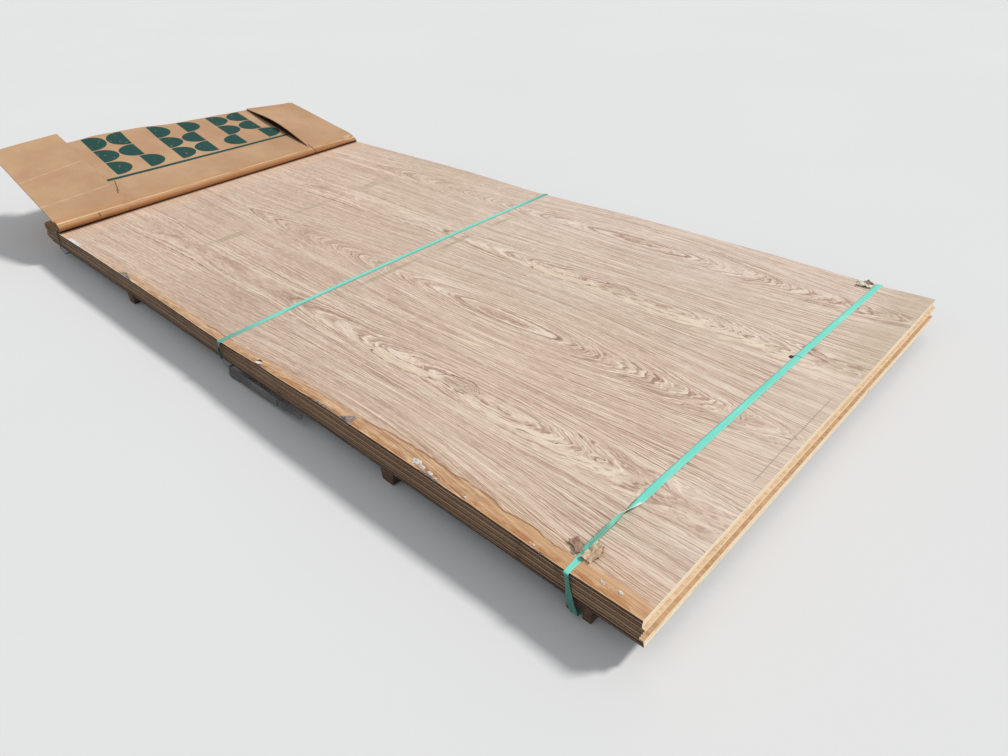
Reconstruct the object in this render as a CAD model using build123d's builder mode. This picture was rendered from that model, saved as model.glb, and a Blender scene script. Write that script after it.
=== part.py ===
"""A strapped stack of thin 4 ft by 8 ft plywood sheets on runners, with its cardboard cover folded back.

Millimetres, +Z up. The sheets lie along X, and the cover is folded back over the end at -X. The origin
is on the floor, under the middle of the pile.
"""

import os
from math import cos, radians, sin

from build123d import *

# Plywood sheets
sheet_length = 2438.0
sheet_width = 1219.0
sheet_thickness = 6.0
# How far each sheet has slid along and across the pile, from the top sheet down
sheet_slides = [
    (0.0, 0.0),
    (-0.5, 0.0),
    (-1.0, 0.5),
    (4.0, 0.0),
    (2.0, -0.5),
    (0.0, -1.5),
    (-2.0, -3.0),
    (5.0, -2.0),
    (4.0, 1.0),
    (3.0, 3.0),
    (2.5, 4.5),
]

# Bearers: runners across the pile. Those under a strap have a slot along their underside that leaves
# two legs, and those at the quarter points are plain bars with rounded lower edges
bearer_height = 32.0
bearer_width = 50.0
bearer_web = 17.0
plain_bearer_width = 36.0
plain_bearer_radius = 6.0
# Where the bearers lie: in from the two ends, and off the quarter points and the middle
near_bearer_setback = 122.0
cover_bearer_setback = 103.0
near_quarter_shift = 4.5
cover_quarter_shift = 15.5
middle_bearer_shift = -12.0
# How far in from the long sides the bearers end: the slotted ones at the middle and under the cover
# are shorter than the rest
bearer_end_setback = 7.0
short_end_setback = 30.0

# Grey board under the lowest sheet, and the torn strip of it that hangs down at the side
liner_thickness = 2.0
strip_strap_gap = 11.5
strip_length = 325.0
strip_drop = 31.0
strip_lean = 8.0
strip_bend_place = 195.0
strip_bend_rise = 9.0
strip_torn_end = 9.0
strip_tear_place = 223.0
strip_tear_width = 2.0
strip_tear_depth = 22.0

# Straps: flat plastic bands, pulled tight round the sheets and led through the slots of their bearers
strap_width = 15.0
strap_thickness = 0.9
strap_bend_radius = 0.85
strap_slot_clearance = 0.5
# How far each strap's top run lies off its bearer's middle line, at the near side and at the far side
near_strap_near_shift = -17.5
near_strap_far_shift = -9.5
middle_strap_near_shift = 6.0
middle_strap_far_shift = -5.0
# How far off its bearer's middle line the near strap crosses the lower edge of the sheets
near_strap_knee_shift = -9.0
# How far the straps turn in under the sheets, where their bearers end further in
strap_turn_inset = 7.0
# The near strap is pushed aside next to the near edge, this far in
near_strap_kink_setback = 74.5
near_strap_kink_shift = -22.0
# How far behind the cover's fold the edge of the third strap lies
cover_strap_fold_gap = 1.5
# The strap whose doubled, welded ends show on the top sheet, and where across the pile they lie
welded_strap = "strap_near_end"
strap_weld_start = 163.0
strap_weld_end = 370.0

# Corrugated cover: its end lies on the top sheet, turns over at a round fold and rises towards the back
cover_thickness = 4.0
cover_side_setback = 0.0
cover_fold_setback = 134.0
cover_tuck_length = 128.0
fold_radius_left = 16.0
fold_radius_right = 10.0
cover_angle_left = 16.8
cover_angle_right = 9.5
panel_reach = 484.0
left_flap_width = 247.5
left_flap_reach_outside = 508.0
left_flap_reach_inside = 556.0
right_flap_width = 217.5
right_flap_reach_inside = 488.0
right_flap_reach_outside = 468.0
flap_setback = 24.0

# Heights, reaches and places worked out from the values above
liner_top = bearer_height + liner_thickness
stack_top = liner_top + len(sheet_slides) * sheet_thickness
half_width = sheet_width / 2
near_reach = half_width - min(across for along, across in sheet_slides)
far_reach = half_width + max(across for along, across in sheet_slides)
slot_top = bearer_height - bearer_web
slot_width = strap_width + 2 * strap_slot_clearance
strip_start = middle_bearer_shift + strap_width / 2 + strip_strap_gap
cover_width = sheet_width - 2 * cover_side_setback
cover_fold_place = -sheet_length / 2 + cover_fold_setback
cover_strap_place = cover_fold_place - cover_strap_fold_gap - strap_width / 2

# Each bearer: where it lies along the pile, how far in it ends, and whether it has a slot
near_place = sheet_length / 2 - near_bearer_setback
middle_place = middle_bearer_shift
cover_place = -sheet_length / 2 + cover_bearer_setback
bearers = {
    "bearer_1": (near_place, bearer_end_setback, True),
    "bearer_2": (sheet_length / 4 + near_quarter_shift, bearer_end_setback, False),
    "bearer_3": (middle_place, short_end_setback, True),
    "bearer_4": (-sheet_length / 4 + cover_quarter_shift, bearer_end_setback, False),
    "bearer_5": (cover_place, short_end_setback, True),
}

# Each strap: its top run's turning points as (across, along), the height it lies at, and along the pile
# where it crosses the lower edge of the sheets and where its lower run lies; then how far it turns in
straps = {
    "strap_near_end": (
        [
            (-near_reach, near_place + near_strap_near_shift),
            (near_strap_kink_setback - half_width, near_place + near_strap_kink_shift),
            (far_reach, near_place + near_strap_far_shift),
        ],
        stack_top,
        near_place + near_strap_knee_shift,
        near_place,
        0.0,
    ),
    "strap_middle": (
        [
            (-near_reach, middle_place + middle_strap_near_shift),
            (far_reach, middle_place + middle_strap_far_shift),
        ],
        stack_top,
        middle_place,
        middle_place,
        strap_turn_inset,
    ),
    "strap_cover_end": (
        [(-near_reach, cover_strap_place), (far_reach, cover_strap_place)],
        stack_top + cover_thickness,
        cover_place,
        cover_place,
        strap_turn_inset,
    ),
}


def place_along(turns, across):
    """Where along the pile a strap's top run lies, at one place across it."""
    for (start, first), (end, last) in zip(turns, turns[1:]):
        if across <= end:
            return first + (last - first) * (across - start) / (end - start)
    return turns[-1][1]


def top_run(turns, start, end):
    """The corners, seen from above, of a strap's top run between two places across the pile."""
    stations = [start] + [across for across, along in turns if start < across < end] + [end]
    half = strap_width / 2
    left = [(place_along(turns, across) - half, across) for across in stations]
    right = [(place_along(turns, across) + half, across) for across in stations]
    return left + right[::-1]


def side_run(top, knee, foot, seat, turn_inset):
    """The corners, seen from the side, of a run down one side: to the sheets' lower edge or the slot."""
    half = strap_width / 2
    line = [(top, seat + strap_thickness), (top, seat), (knee, liner_top)]
    if not turn_inset:
        line += [(foot, slot_top), (foot, slot_top - strap_thickness)]
    left = [(along - half, height) for along, height in line]
    right = [(along + half, height) for along, height in line]
    return left + right[::-1]


def lower_run(turn_inset):
    """The strap's inner line under the pile, seen along it: straight across, or turned in at its ends."""
    near_end = turn_inset - near_reach
    far_end = far_reach - turn_inset
    line = [(near_end, slot_top), (far_end, slot_top)]
    if turn_inset:
        line = [(-near_reach, liner_top), (-near_reach, bearer_height)] + line
        line += [(far_reach, bearer_height), (far_reach, liner_top)]
    return line


def build_strap(label, turns, seat, knee, foot, turn_inset):
    """One strap: a tight loop of flat runs, slanting on the top and the sides and straight in its slot."""
    sides = [(near_reach, turns[0][1], strap_thickness), (-far_reach, turns[-1][1], -strap_thickness)]
    with BuildPart() as strap:
        with BuildSketch(Plane.YZ.offset(foot)):
            with BuildLine():
                Polyline(*lower_run(turn_inset))
                offset(amount=strap_thickness, side=Side.RIGHT, kind=Kind.INTERSECTION)
            make_face()
        extrude(amount=strap_width / 2, both=True)
        with BuildSketch(Plane.XY.offset(seat)):
            with BuildLine():
                Polyline(*top_run(turns, -near_reach, far_reach), close=True)
            make_face()
        extrude(amount=strap_thickness)
        for reach, top, outward in sides:
            with BuildSketch(Plane.XZ.offset(reach)):
                with BuildLine():
                    Polyline(*side_run(top, knee, foot, seat, turn_inset), close=True)
                make_face()
            extrude(amount=outward)
        crosswise = strap.edges().filter_by(Axis.X).group_by(Axis.Z)
        fillet(crosswise[0] + crosswise[-1], strap_bend_radius)
        if label == welded_strap:
            with BuildSketch(Plane.XY.offset(seat + strap_thickness)):
                with BuildLine():
                    Polyline(*top_run(turns, strap_weld_start, strap_weld_end), close=True)
                make_face()
            extrude(amount=strap_thickness)
    strap.part.label = label
    return strap.part


def build_sheet(index, along, across):
    """One plywood sheet, at its own height and slid a little from the middle of the pile."""
    low = stack_top - (index + 1) * sheet_thickness
    with BuildPart() as sheet:
        with BuildSketch(Plane((along, across, low))):
            Rectangle(sheet_length, sheet_width)
        extrude(amount=sheet_thickness)
    sheet.part.label = f"plywood_sheet_{index + 1:02d}"
    return sheet.part


def build_bearer(label, place, setback, slotted):
    """One runner: two legs with the strap's slot between them, or a plain bar with rounded lower edges."""
    length = sheet_width - 2 * setback
    width = bearer_width if slotted else plain_bearer_width
    with BuildPart() as bearer:
        with BuildSketch(Plane.XZ.offset(-length / 2)) as section:
            with Locations((place, bearer_height / 2)):
                Rectangle(width, bearer_height)
            if slotted:
                with Locations((place, slot_top / 2)):
                    Rectangle(slot_width, slot_top, mode=Mode.SUBTRACT)
            else:
                fillet(section.vertices().group_by(Axis.Y)[0], plain_bearer_radius)
        extrude(amount=length)
    bearer.part.label = label
    return bearer.part


def build_liner():
    """The grey board under the sheets, with the torn strip of it that has folded down at the side."""
    edge = -half_width
    strip_foot = liner_top - strip_drop
    below = strip_foot - 2 * liner_thickness
    strip_end = strip_start + strip_length
    with BuildPart() as liner:
        with BuildSketch(Plane.XY.offset(bearer_height)):
            Rectangle(sheet_length, sheet_width)
        extrude(amount=liner_thickness)
        with BuildSketch(Plane.YZ.offset(strip_start)):
            with BuildLine():
                Polyline(
                    (edge, liner_top),
                    (edge - liner_thickness, bearer_height),
                    (edge - strip_lean, below),
                    (edge - strip_lean + liner_thickness, below),
                    (edge, bearer_height),
                    close=True,
                )
            make_face()
        extrude(amount=strip_length)
        with BuildSketch(Plane.XZ.offset(-edge)):
            with BuildLine():
                Polyline(
                    (strip_start, below),
                    (strip_start, strip_foot),
                    (strip_start + strip_bend_place, strip_foot + strip_bend_rise),
                    (strip_end, liner_top - strip_torn_end),
                    (strip_end, below),
                    close=True,
                )
            make_face()
            with BuildLine():
                Polyline(
                    (strip_start + strip_tear_place - strip_tear_width, below),
                    (strip_start + strip_tear_place, strip_foot + strip_tear_depth),
                    (strip_start + strip_tear_place + strip_tear_width, below),
                    close=True,
                )
            make_face()
        extrude(amount=strip_lean, both=True, mode=Mode.SUBTRACT)
    liner.part.label = "base_liner"
    return liner.part


def cover_outline(across, flap_reach):
    """The corner points of the cover's section at one place across it, with or without a flap on top."""
    share = (across + cover_width / 2) / cover_width
    radius = fold_radius_left + (fold_radius_right - fold_radius_left) * share
    rise = radians(cover_angle_left + (cover_angle_right - cover_angle_left) * share)
    up = Vector(sin(rise), cos(rise))
    back = Vector(-cos(rise), sin(rise))
    centre = Vector(cover_fold_place, stack_top + radius)
    outer = centre + up * radius
    inner = centre + up * (radius - cover_thickness)
    inner_low = Vector(cover_fold_place, stack_top + cover_thickness)
    tuck = Vector(-cover_tuck_length, 0)
    top = [outer]
    if flap_reach:
        foot = outer + back * flap_setback
        flap_end = outer + back * flap_reach
        top += [foot, foot + up * cover_thickness, flap_end + up * cover_thickness, flap_end]
    top += [outer + back * panel_reach, inner + back * panel_reach, inner]
    low = [inner_low, inner_low + tuck, Vector(cover_fold_place, stack_top) + tuck]
    low.append(Vector(cover_fold_place, stack_top))
    inner_side = centre + Vector(radius - cover_thickness, 0)
    return top, inner_side, low, centre + Vector(radius, 0)


def cover_section(across, flap_reach=0.0):
    """The cover's section at one place: the rising top, the round fold and the end tucked under it."""
    top, inner_side, low, outer_side = cover_outline(across, flap_reach)
    with BuildSketch(Plane.XZ.offset(-across)) as section:
        with BuildLine():
            Polyline(*top)
            ThreePointArc(top[-1], inner_side, low[0])
            Polyline(*low)
            ThreePointArc(low[-1], outer_side, top[0])
        make_face()
    return section.sketch


def build_cover():
    """The folded cover: one twisted panel, steeper at the left, with a flap folded in at each side."""
    left = -cover_width / 2
    right = cover_width / 2
    left_edge = left + left_flap_width
    right_edge = right - right_flap_width
    spans = [
        ((left, left_flap_reach_outside), (left_edge, left_flap_reach_inside)),
        ((left_edge, 0), (right_edge, 0)),
        ((right_edge, right_flap_reach_inside), (right, right_flap_reach_outside)),
    ]
    with BuildPart() as cover:
        for first, last in spans:
            loft([cover_section(*first), cover_section(*last)], ruled=True)
    cover.part.label = "cardboard_cover"
    return cover.part


pieces = [build_sheet(index, *slide) for index, slide in enumerate(sheet_slides)]
pieces += [build_bearer(label, *settings) for label, settings in bearers.items()]
pieces += [build_strap(label, *settings) for label, settings in straps.items()]
pieces += [build_liner(), build_cover()]

os.makedirs("parts", exist_ok=True)
for piece in pieces:
    export_step(piece, f"parts/{piece.label}.step")
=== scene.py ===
"""Looks of a strapped stack of plywood sheets with its cardboard cover folded back. Metres, +Z up.

The sheets lie along X. The near end is at +X, the cover at -X, and the long side in shade is at -Y.
"""

import random
from bisect import bisect_right
from math import cos, exp, hypot, pi, radians, sin

import bpy
from mathutils import Matrix, Vector, noise


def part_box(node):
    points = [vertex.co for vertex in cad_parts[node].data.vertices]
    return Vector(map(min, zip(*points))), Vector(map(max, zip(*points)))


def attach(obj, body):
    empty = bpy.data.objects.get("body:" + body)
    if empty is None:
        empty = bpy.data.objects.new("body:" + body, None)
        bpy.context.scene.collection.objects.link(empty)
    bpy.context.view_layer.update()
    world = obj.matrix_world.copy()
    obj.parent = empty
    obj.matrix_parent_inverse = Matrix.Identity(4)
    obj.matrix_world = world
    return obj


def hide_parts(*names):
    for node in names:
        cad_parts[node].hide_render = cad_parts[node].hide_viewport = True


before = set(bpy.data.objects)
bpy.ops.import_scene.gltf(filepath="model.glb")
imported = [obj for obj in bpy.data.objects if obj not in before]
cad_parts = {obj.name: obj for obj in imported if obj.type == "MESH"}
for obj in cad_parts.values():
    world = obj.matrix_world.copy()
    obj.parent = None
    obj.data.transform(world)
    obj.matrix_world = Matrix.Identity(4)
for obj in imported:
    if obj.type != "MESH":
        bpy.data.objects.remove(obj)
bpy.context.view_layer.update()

# Main sizes, read from the solid parts
TOP_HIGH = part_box("plywood_sheet_01")[1]
HALF_LENGTH = TOP_HIGH.x
HALF_WIDTH = TOP_HIGH.y
STACK_TOP = TOP_HIGH.z
LINER_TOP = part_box("base_liner")[1].z
SHEET_NAMES = sorted(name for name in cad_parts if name.startswith("plywood_sheet"))

# Sheets: a little thinner than their pitch, so that the joints between them show
SHEET_THICKNESS = 0.0055
VENEER = 0.0006
EDGE_JITTER = 0.0006
# Rise of the top sheet's two long edges along X, how far in it reaches, and each sheet's share of a lift
NEAR_EDGE_RISE = [
    (-1.22, 0.0), (-1.08, -0.004), (-0.81, 0.0), (-0.40, -0.001), (-0.014, -0.0055), (0.20, 0.001),
    (0.42, 0.006), (0.55, 0.0045), (0.70, 0.005), (0.86, 0.003), (0.94, 0.0), (1.05, -0.003), (1.22, -0.001),
]
FAR_EDGE_RISE = [
    (-1.22, 0.0), (-0.85, 0.002), (-0.45, 0.003), (-0.042, -0.005), (0.40, 0.003), (0.80, 0.002),
    (1.08, -0.003), (1.22, 0.0),
]
RISE_REACH = 0.22
LIFT_SHARES = [1.0, 0.72, 0.42, 0.2, 0.08]
# How pale each sheet's cut edge is at the ends and along the sides, and how stained its bare ledges are,
# from the top sheet down
SHEET_TONES = {
    "tone": [1.0, 0.97, 1.0, 0.93, 0.90, 0.93, 1.0, 0.97, 0.98, 1.0, 1.0],
    "side_tone": [0.26, 1.00, 0.58, 1.08, 0.60, 0.98, 0.42, 0.98, 0.52, 0.86, 0.58],
    "stain": [0.2, 0.2, 0.2, 0.15, 0.3, 0.3, 0.4, 0.55, 0.4, 0.4, 0.4],
}
# Notches in the top veneer along the near long edge: start, end, depth, and where the deepest point lies
NOTCHES = [
    (-0.605, -0.515, 0.016, 0.25), (0.158, 0.186, 0.009, 0.35), (0.350, 0.492, 0.005, 0.6),
    (0.482, 0.520, 0.034, 0.93), (0.724, 0.794, 0.004, 0.5), (1.010, 1.030, 0.003, 0.5),
]

# Cover: the same fold, angles and reaches as the solid one. Pairs hold its left and right edges' values
BOARD = 0.004
LINER_SKIN = 0.0005
FLUTE_HALF = 0.0001
FLUTE_PITCH = 0.0078
FOLD_X = -1.085
FOLD_FRONT = FOLD_X + 0.012
TUCK_LENGTH = 0.128
FOLD_END = TUCK_LENGTH + pi * 0.013
FOLD_RADIUS = (0.016, 0.010)
FOLD_ANGLE = (radians(16.8), radians(9.5))
PANEL_REACH = 0.484
PANEL_END = FOLD_END + PANEL_REACH
# Where the close stations round the fold end, where the panel's own start, and where they close up by
# the crushed right end
ARC_END = TUCK_LENGTH + 0.052
PANEL_START = TUCK_LENGTH + 0.064
CRUSHED_Y = 0.43
COVER_INSET = 0.0045
LEFT_FLAP_EDGE = -0.362
RIGHT_FLAP_EDGE = 0.392
FLAP_START = 0.012
FLAP_RUN = 0.5
# Inner edge, outer edge, inner reach, outer reach and lift of each flap
FLAPS = (
    (LEFT_FLAP_EDGE, -HALF_WIDTH, 0.556, 0.508, 0.0),
    (RIGHT_FLAP_EDGE, HALF_WIDTH, 0.488, 0.468, 0.020),
)
FOLD_NICKS = ((-0.449, 0.0035), (-0.378, 0.002), (0.395, 0.003), (0.47, 0.0015))
CREASES = ((0.262, 0.029), (0.090, 0.018))

# Straps
STRAP_WIDTH = 0.015
STRAP_THICKNESS = 0.0009
STRAP_BEND = 0.0018
STRAP_STEPS = (30, 8, 24, 140, 20, 44, 16, 30)
# How close to a strap's side, top, knee, foot and sole the points of its solid lie that are picked there
SIDE_REACH, TOP_REACH, KNEE_REACH, FOOT_REACH, SOLE_REACH = 0.0015, 0.0002, 0.0003, 0.0005, 0.0001
WELD_START, WELD_END = 0.163, 0.370

# Grey board and its torn strip
LINER_THICKNESS = 0.002
STRIP_START, STRIP_END = 0.007, 0.332
STRIP_TEARS = ((0.060, 0.012), (0.232, 0.020))
TEAR_HALF = 0.0022

# Loose things on the top sheet. A scrap has a name, place, size, turn, seed, height and folds
SCRAPS = (
    ("near_flat", (1.0590, -0.558), (0.030, 0.018), -0.45, 4.0, 0.0060, 1.4),
    ("near_pale", (1.0895, -0.556), (0.021, 0.040), -0.1, 24.0, 0.0060, 2.6),
    ("far_flat", (1.0655, 0.599), (0.022, 0.014), -0.6, 11.0, 0.0120, 1.4),
    ("far_pale", (1.0600, 0.590), (0.036, 0.032), 0.2, 31.0, 0.0060, 2.6),
)
LABEL_START, LABEL_LENGTH = -1.003, 0.098
# Splashes: x, y, length and width
SPLASHES = (
    (0.712, -0.596, 0.026, 0.013), (0.731, -0.600, 0.016, 0.009), (0.755, -0.601, 0.013, 0.008),
    (0.772, -0.604, 0.007, 0.004), (0.677, -0.596, 0.007, 0.004), (0.846, -0.602, 0.006, 0.004),
    (1.135, -0.592, 0.009, 0.005), (1.165, -0.589, 0.010, 0.006), (1.005, -0.603, 0.006, 0.004),
)
CHIP_PLACE, CHIP_SIZE = (1.0715, 0.163), (0.014, 0.012)
SPLINTER_X, SPLINTER_LENGTH = 0.163, 0.014

# Camera, from a fit to the corners and edges of the top sheet
CAMERA_PLACE = Vector((1.5566, -1.1896, 0.9719))
CAMERA_FORWARD = Vector((-0.58913, 0.57996, -0.56264))
CAMERA_ROLL = radians(-3.467)
CAMERA_LENS = 25.81

SUN_FROM = Vector((0.65, 0.87, 1.0))
FLOOR_REACH = 60.0


def linear(colour):
    """A colour as Blender takes it. Three numbers are as seen on screen, 0 to 255; others stay."""
    if not isinstance(colour, tuple) or len(colour) != 3:
        return colour
    shares = [value / 255 for value in colour]
    return tuple(v / 12.92 if v <= 0.04045 else ((v + 0.055) / 1.055) ** 2.4 for v in shares) + (1.0,)


def smooth(low, high, value):
    """0 below low, 1 above high, and a smooth step between."""
    share = min(max((value - low) / (high - low), 0.0), 1.0)
    return share * share * (3 - 2 * share)


def bell(offset, width):
    """A smooth bell: 1 at no offset and near 0 beyond two widths."""
    return exp(-((offset / width) ** 2))


def follow(points, place):
    """The height at a place on a smooth line through (place, height) points."""
    places = [point[0] for point in points]
    index = min(max(bisect_right(places, place) - 1, 0), len(points) - 2)
    (low, start), (high, end) = points[index], points[index + 1]
    return start + (end - start) * smooth(low, high, place)


def wobble(x, y=0.0, z=0.0):
    """Smooth noise from about -1 to 1."""
    return noise.noise(Vector((x, y, z)))


def steps(low, high, count):
    """Even stations from low to high."""
    return [low + (high - low) * index / count for index in range(count + 1)]


def by_node(operation, turned=False):
    """A method that adds a math node. A turned one has the value itself as its last input."""

    def method(self, *others):
        return self.tree.math(operation, *((*others, self) if turned else (self, *others)))

    return method


class Value:
    """A number inside a material. Arithmetic on it adds math nodes."""

    def __init__(self, tree, socket):
        self.tree = tree
        self.socket = socket

    __add__ = by_node("ADD")
    __radd__ = by_node("ADD", turned=True)
    __sub__ = by_node("SUBTRACT")
    __rsub__ = by_node("SUBTRACT", turned=True)
    __mul__ = by_node("MULTIPLY")
    __rmul__ = by_node("MULTIPLY", turned=True)
    __truediv__ = by_node("DIVIDE")
    __abs__ = by_node("ABSOLUTE")
    cosine = by_node("COSINE")
    sine = by_node("SINE")
    floor = by_node("FLOOR")
    fraction = by_node("FRACT")
    power = by_node("POWER")
    root = by_node("SQRT")
    exponential = by_node("EXPONENT")
    at_least = by_node("MAXIMUM")
    at_most = by_node("MINIMUM")

    def step(self, low, high):
        """0 at low and 1 at high, smooth between, also where low is the larger."""
        inputs = {0: self, 1: low, 2: high}
        node = self.tree.node("ShaderNodeMapRange", inputs, interpolation_type="SMOOTHSTEP")
        return Value(self.tree, node.outputs[0])

    def band(self, centre, half_width, soft):
        """1 within half_width of centre, falling to 0 over soft."""
        return abs(self - centre).step(half_width + soft, half_width)


def hypotenuse(first, second):
    """How far a point lies from the middle, from its two values."""
    return (first * first + second * second).root()


def spots(first, second, bands):
    """The sum of marks that each lie within a band of one value and a band of another."""
    return sum(first.band(*along) * second.band(*over) for along, over in bands)


class Tree:
    """The nodes of a world or material: each call adds nodes and gives back what they make."""

    def __init__(self, owner):
        owner.use_nodes = True
        self.nodes = owner.node_tree.nodes
        self.links = owner.node_tree.links
        self.nodes.clear()

    def node(self, kind, inputs=None, **settings):
        made = self.nodes.new(kind)
        for key, value in settings.items():
            setattr(made, key, value)
        self.put(made, inputs or {})
        return made

    def put(self, node, inputs):
        """Links values or sockets to a node's inputs, by name or number, or sets plain numbers there."""
        for key, value in inputs.items():
            if isinstance(value, Value):
                value = value.socket
            if isinstance(value, bpy.types.NodeSocket):
                self.links.new(value, node.inputs[key])
            else:
                node.inputs[key].default_value = value

    def math(self, operation, *values):
        node = self.node("ShaderNodeMath", dict(enumerate(values)), operation=operation)
        return Value(self, node.outputs[0])


class Graph(Tree):
    """One procedural material."""

    def __init__(self, name, roughness=0.7, specular=0.3):
        self.material = bpy.data.materials.new(name)
        super().__init__(self.material)
        base = {"Roughness": roughness, "Specular IOR Level": specular}
        self.shader = self.node("ShaderNodeBsdfPrincipled", base)
        self.node("ShaderNodeOutputMaterial", {0: self.shader.outputs[0]})

    def split(self, vector):
        """The three values of a vector."""
        return [Value(self, socket) for socket in self.node("ShaderNodeSeparateXYZ", {0: vector}).outputs]

    def place(self):
        """The point's x, y and z in metres."""
        return self.split(self.node("ShaderNodeTexCoord").outputs["Object"])

    def flat(self):
        """The values stored with the mesh: along, across, and height within the piece from 0 to 1."""
        return self.split(self.node("ShaderNodeAttribute", attribute_name="flat").outputs["Vector"])

    def stored(self, name):
        return Value(self, self.node("ShaderNodeAttribute", attribute_name=name).outputs["Fac"])

    def vector(self, x, y, z=0.0):
        return self.node("ShaderNodeCombineXYZ", {0: x, 1: y, 2: z}).outputs[0]

    def noise(self, *place, detail=2.0, roughness=0.5):
        """Smooth noise from 0 to 1 at a place of two or three values."""
        inputs = {"Vector": self.vector(*place), "Scale": 1.0, "Detail": detail, "Roughness": roughness}
        return Value(self, self.node("ShaderNodeTexNoise", inputs).outputs["Fac"])

    def cells(self, *place):
        """How far a place lies from the middle of its random cell."""
        inputs = {"Vector": self.vector(*place), "Scale": 1.0}
        return Value(self, self.node("ShaderNodeTexVoronoi", inputs, feature="F1").outputs["Distance"])

    def curve(self, value, points):
        """Straight lines through (place, height) points, for a value along them."""
        low, high = points[0][0], points[-1][0]
        base = min(height for place, height in points)
        span = max(height for place, height in points) - base
        node = self.node("ShaderNodeFloatCurve", {"Value": (value - low) / (high - low)})
        line = node.mapping.curves[0]
        while len(line.points) < len(points):
            line.points.new(0.5, 0.5)
        for point, (place, height) in zip(line.points, points):
            point.location = ((place - low) / (high - low), (height - base) / span)
            point.handle_type = "VECTOR"
        node.mapping.update()
        return Value(self, node.outputs[0]) * span + base

    def dice(self, value):
        """A random number from 0 to 1 for each whole number."""
        node = self.node("ShaderNodeTexWhiteNoise", {"W": value}, noise_dimensions="1D")
        return Value(self, node.outputs["Value"])

    def mix(self, share, first, second, blend="MIX"):
        inputs = {0: share, 6: linear(first), 7: linear(second)}
        return self.node("ShaderNodeMix", inputs, data_type="RGBA", blend_type=blend).outputs[2]

    def coats(self, colour, *coats):
        """Lays coats on a colour one after another, each with its share and its own colour."""
        for share, coat in coats:
            colour = self.mix(share, colour, coat)
        return colour

    def tint(self, share, colour, by):
        """Multiplies a colour by linear shares of its red, green and blue."""
        return self.mix(share, colour, (*by, 1.0), "MULTIPLY")

    def finish(self, colour, height=None, distance=0.0003, strength=0.6, roughness=None):
        """Sets the colour, and the bump from a height of 0 to 1 over a distance in metres."""
        self.put(self.shader, {"Base Color": colour})
        if roughness is not None:
            self.put(self.shader, {"Roughness": roughness})
        if height is not None:
            inputs = {"Strength": strength, "Distance": distance, "Height": height}
            self.put(self.shader, {"Normal": self.node("ShaderNodeBump", inputs).outputs[0]})
        return self.material


# The face veneer is peeled from a log, so its figure comes back once in each turn of the log
LOG_TURN = 0.556
CATHEDRAL_LINE = -0.095
LOG_OFFSET = 0.045
RING = 0.0025
CATHEDRAL_X = 0.47
CATHEDRAL_RINGS = 26.0
SWIRL_X = 0.72
SWIRL_RINGS = 14.0
# The closed loop that the innermost ring makes: its middle and half its length along X, and half its width
LOOP_X, LOOP_LENGTH, LOOP_WIDTH = 0.458, 0.163, 0.021
# The torn patch: where its log turn starts along Y, its outlines along X, and the dark nicks in them
TORN_TURN = -0.65
TORN_UPPER = [
    (0.318, -0.401), (0.330, -0.381), (0.345, -0.380), (0.398, -0.387), (0.436, -0.386), (0.485, -0.380),
    (0.517, -0.378), (0.552, -0.354), (0.604, -0.345), (0.628, -0.351), (0.648, -0.369),
]
TORN_LOWER = [
    (0.318, -0.403), (0.336, -0.409), (0.387, -0.414), (0.447, -0.413), (0.496, -0.405), (0.520, -0.395),
    (0.559, -0.389), (0.604, -0.392), (0.628, -0.385), (0.648, -0.371),
]
TORN_NICKS = (
    ((0.329, 0.003, 0.004), (-0.4035, 0.0015, 0.003)),
    ((0.520, 0.004, 0.003), (-0.394, 0.0015, 0.0015)),
    ((0.552, 0.003, 0.003), (-0.355, 0.0015, 0.0015)),
)
# Marks that old straps have left, as bands along X and Y
OLD_STRAPS = (
    ((0.035, 0.005, 0.006), (0.015, 0.365, 0.02)),
    ((-0.597, 0.004, 0.006), (0.31, 0.08, 0.01)),
    ((-0.578, 0.006, 0.006), (0.02, 0.37, 0.02)),
    ((-0.561, 0.004, 0.006), (-0.285, 0.065, 0.01)),
)


def hill(x, middle, left, right):
    """A smooth hill from 0 to 1 along X, wider on one side than on the other."""
    run = ((x - middle) / right).at_least(0) + ((x - middle) / left).at_most(0)
    return (run * run * -1).exponential()


def log_figure(g, x, y):
    """The growth rings that the knife meets at a point of the peeled sheet, as a running number, and how
    far the point lies out from the middle of the closed loop that the innermost ring makes there."""
    radius = LOG_TURN / (2 * pi)
    angle = (y - CATHEDRAL_LINE) / radius
    side = angle.cosine()
    log_y, log_z = side * radius, angle.sine() * radius
    slow, middle, fine = (
        g.noise(x * along, log_y * around, log_z * around, detail=detail) - 0.5
        for along, around, detail in ((2.2, 9, 1), (11, 40, 2), (40, 150, 2))
    )
    near_side = side * 0.5 + 0.5
    far_side = 0.5 - side * 0.5
    rings = hypotenuse(log_y - LOG_OFFSET, log_z) / RING
    rings = rings - hill(x, CATHEDRAL_X, 0.80, 0.55) * near_side * CATHEDRAL_RINGS
    rings = rings + hill(x, SWIRL_X, 0.45, 0.24) * far_side.power(8) * SWIRL_RINGS
    wavy = near_side.power(4) * x.step(0.55, 0.85) * 3
    wavy = wavy + far_side.power(6) * x.band(0.80, 0.40, 0.30) * 3.5
    rings = rings + slow * 4 + middle * (wavy + 0.8) + fine * 0.8
    loop = hypotenuse((x - LOOP_X) / LOOP_LENGTH, log_z / LOOP_WIDTH)
    return rings, loop + middle * 0.5 + side.step(0, -0.2) * 9, log_y, log_z


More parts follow.
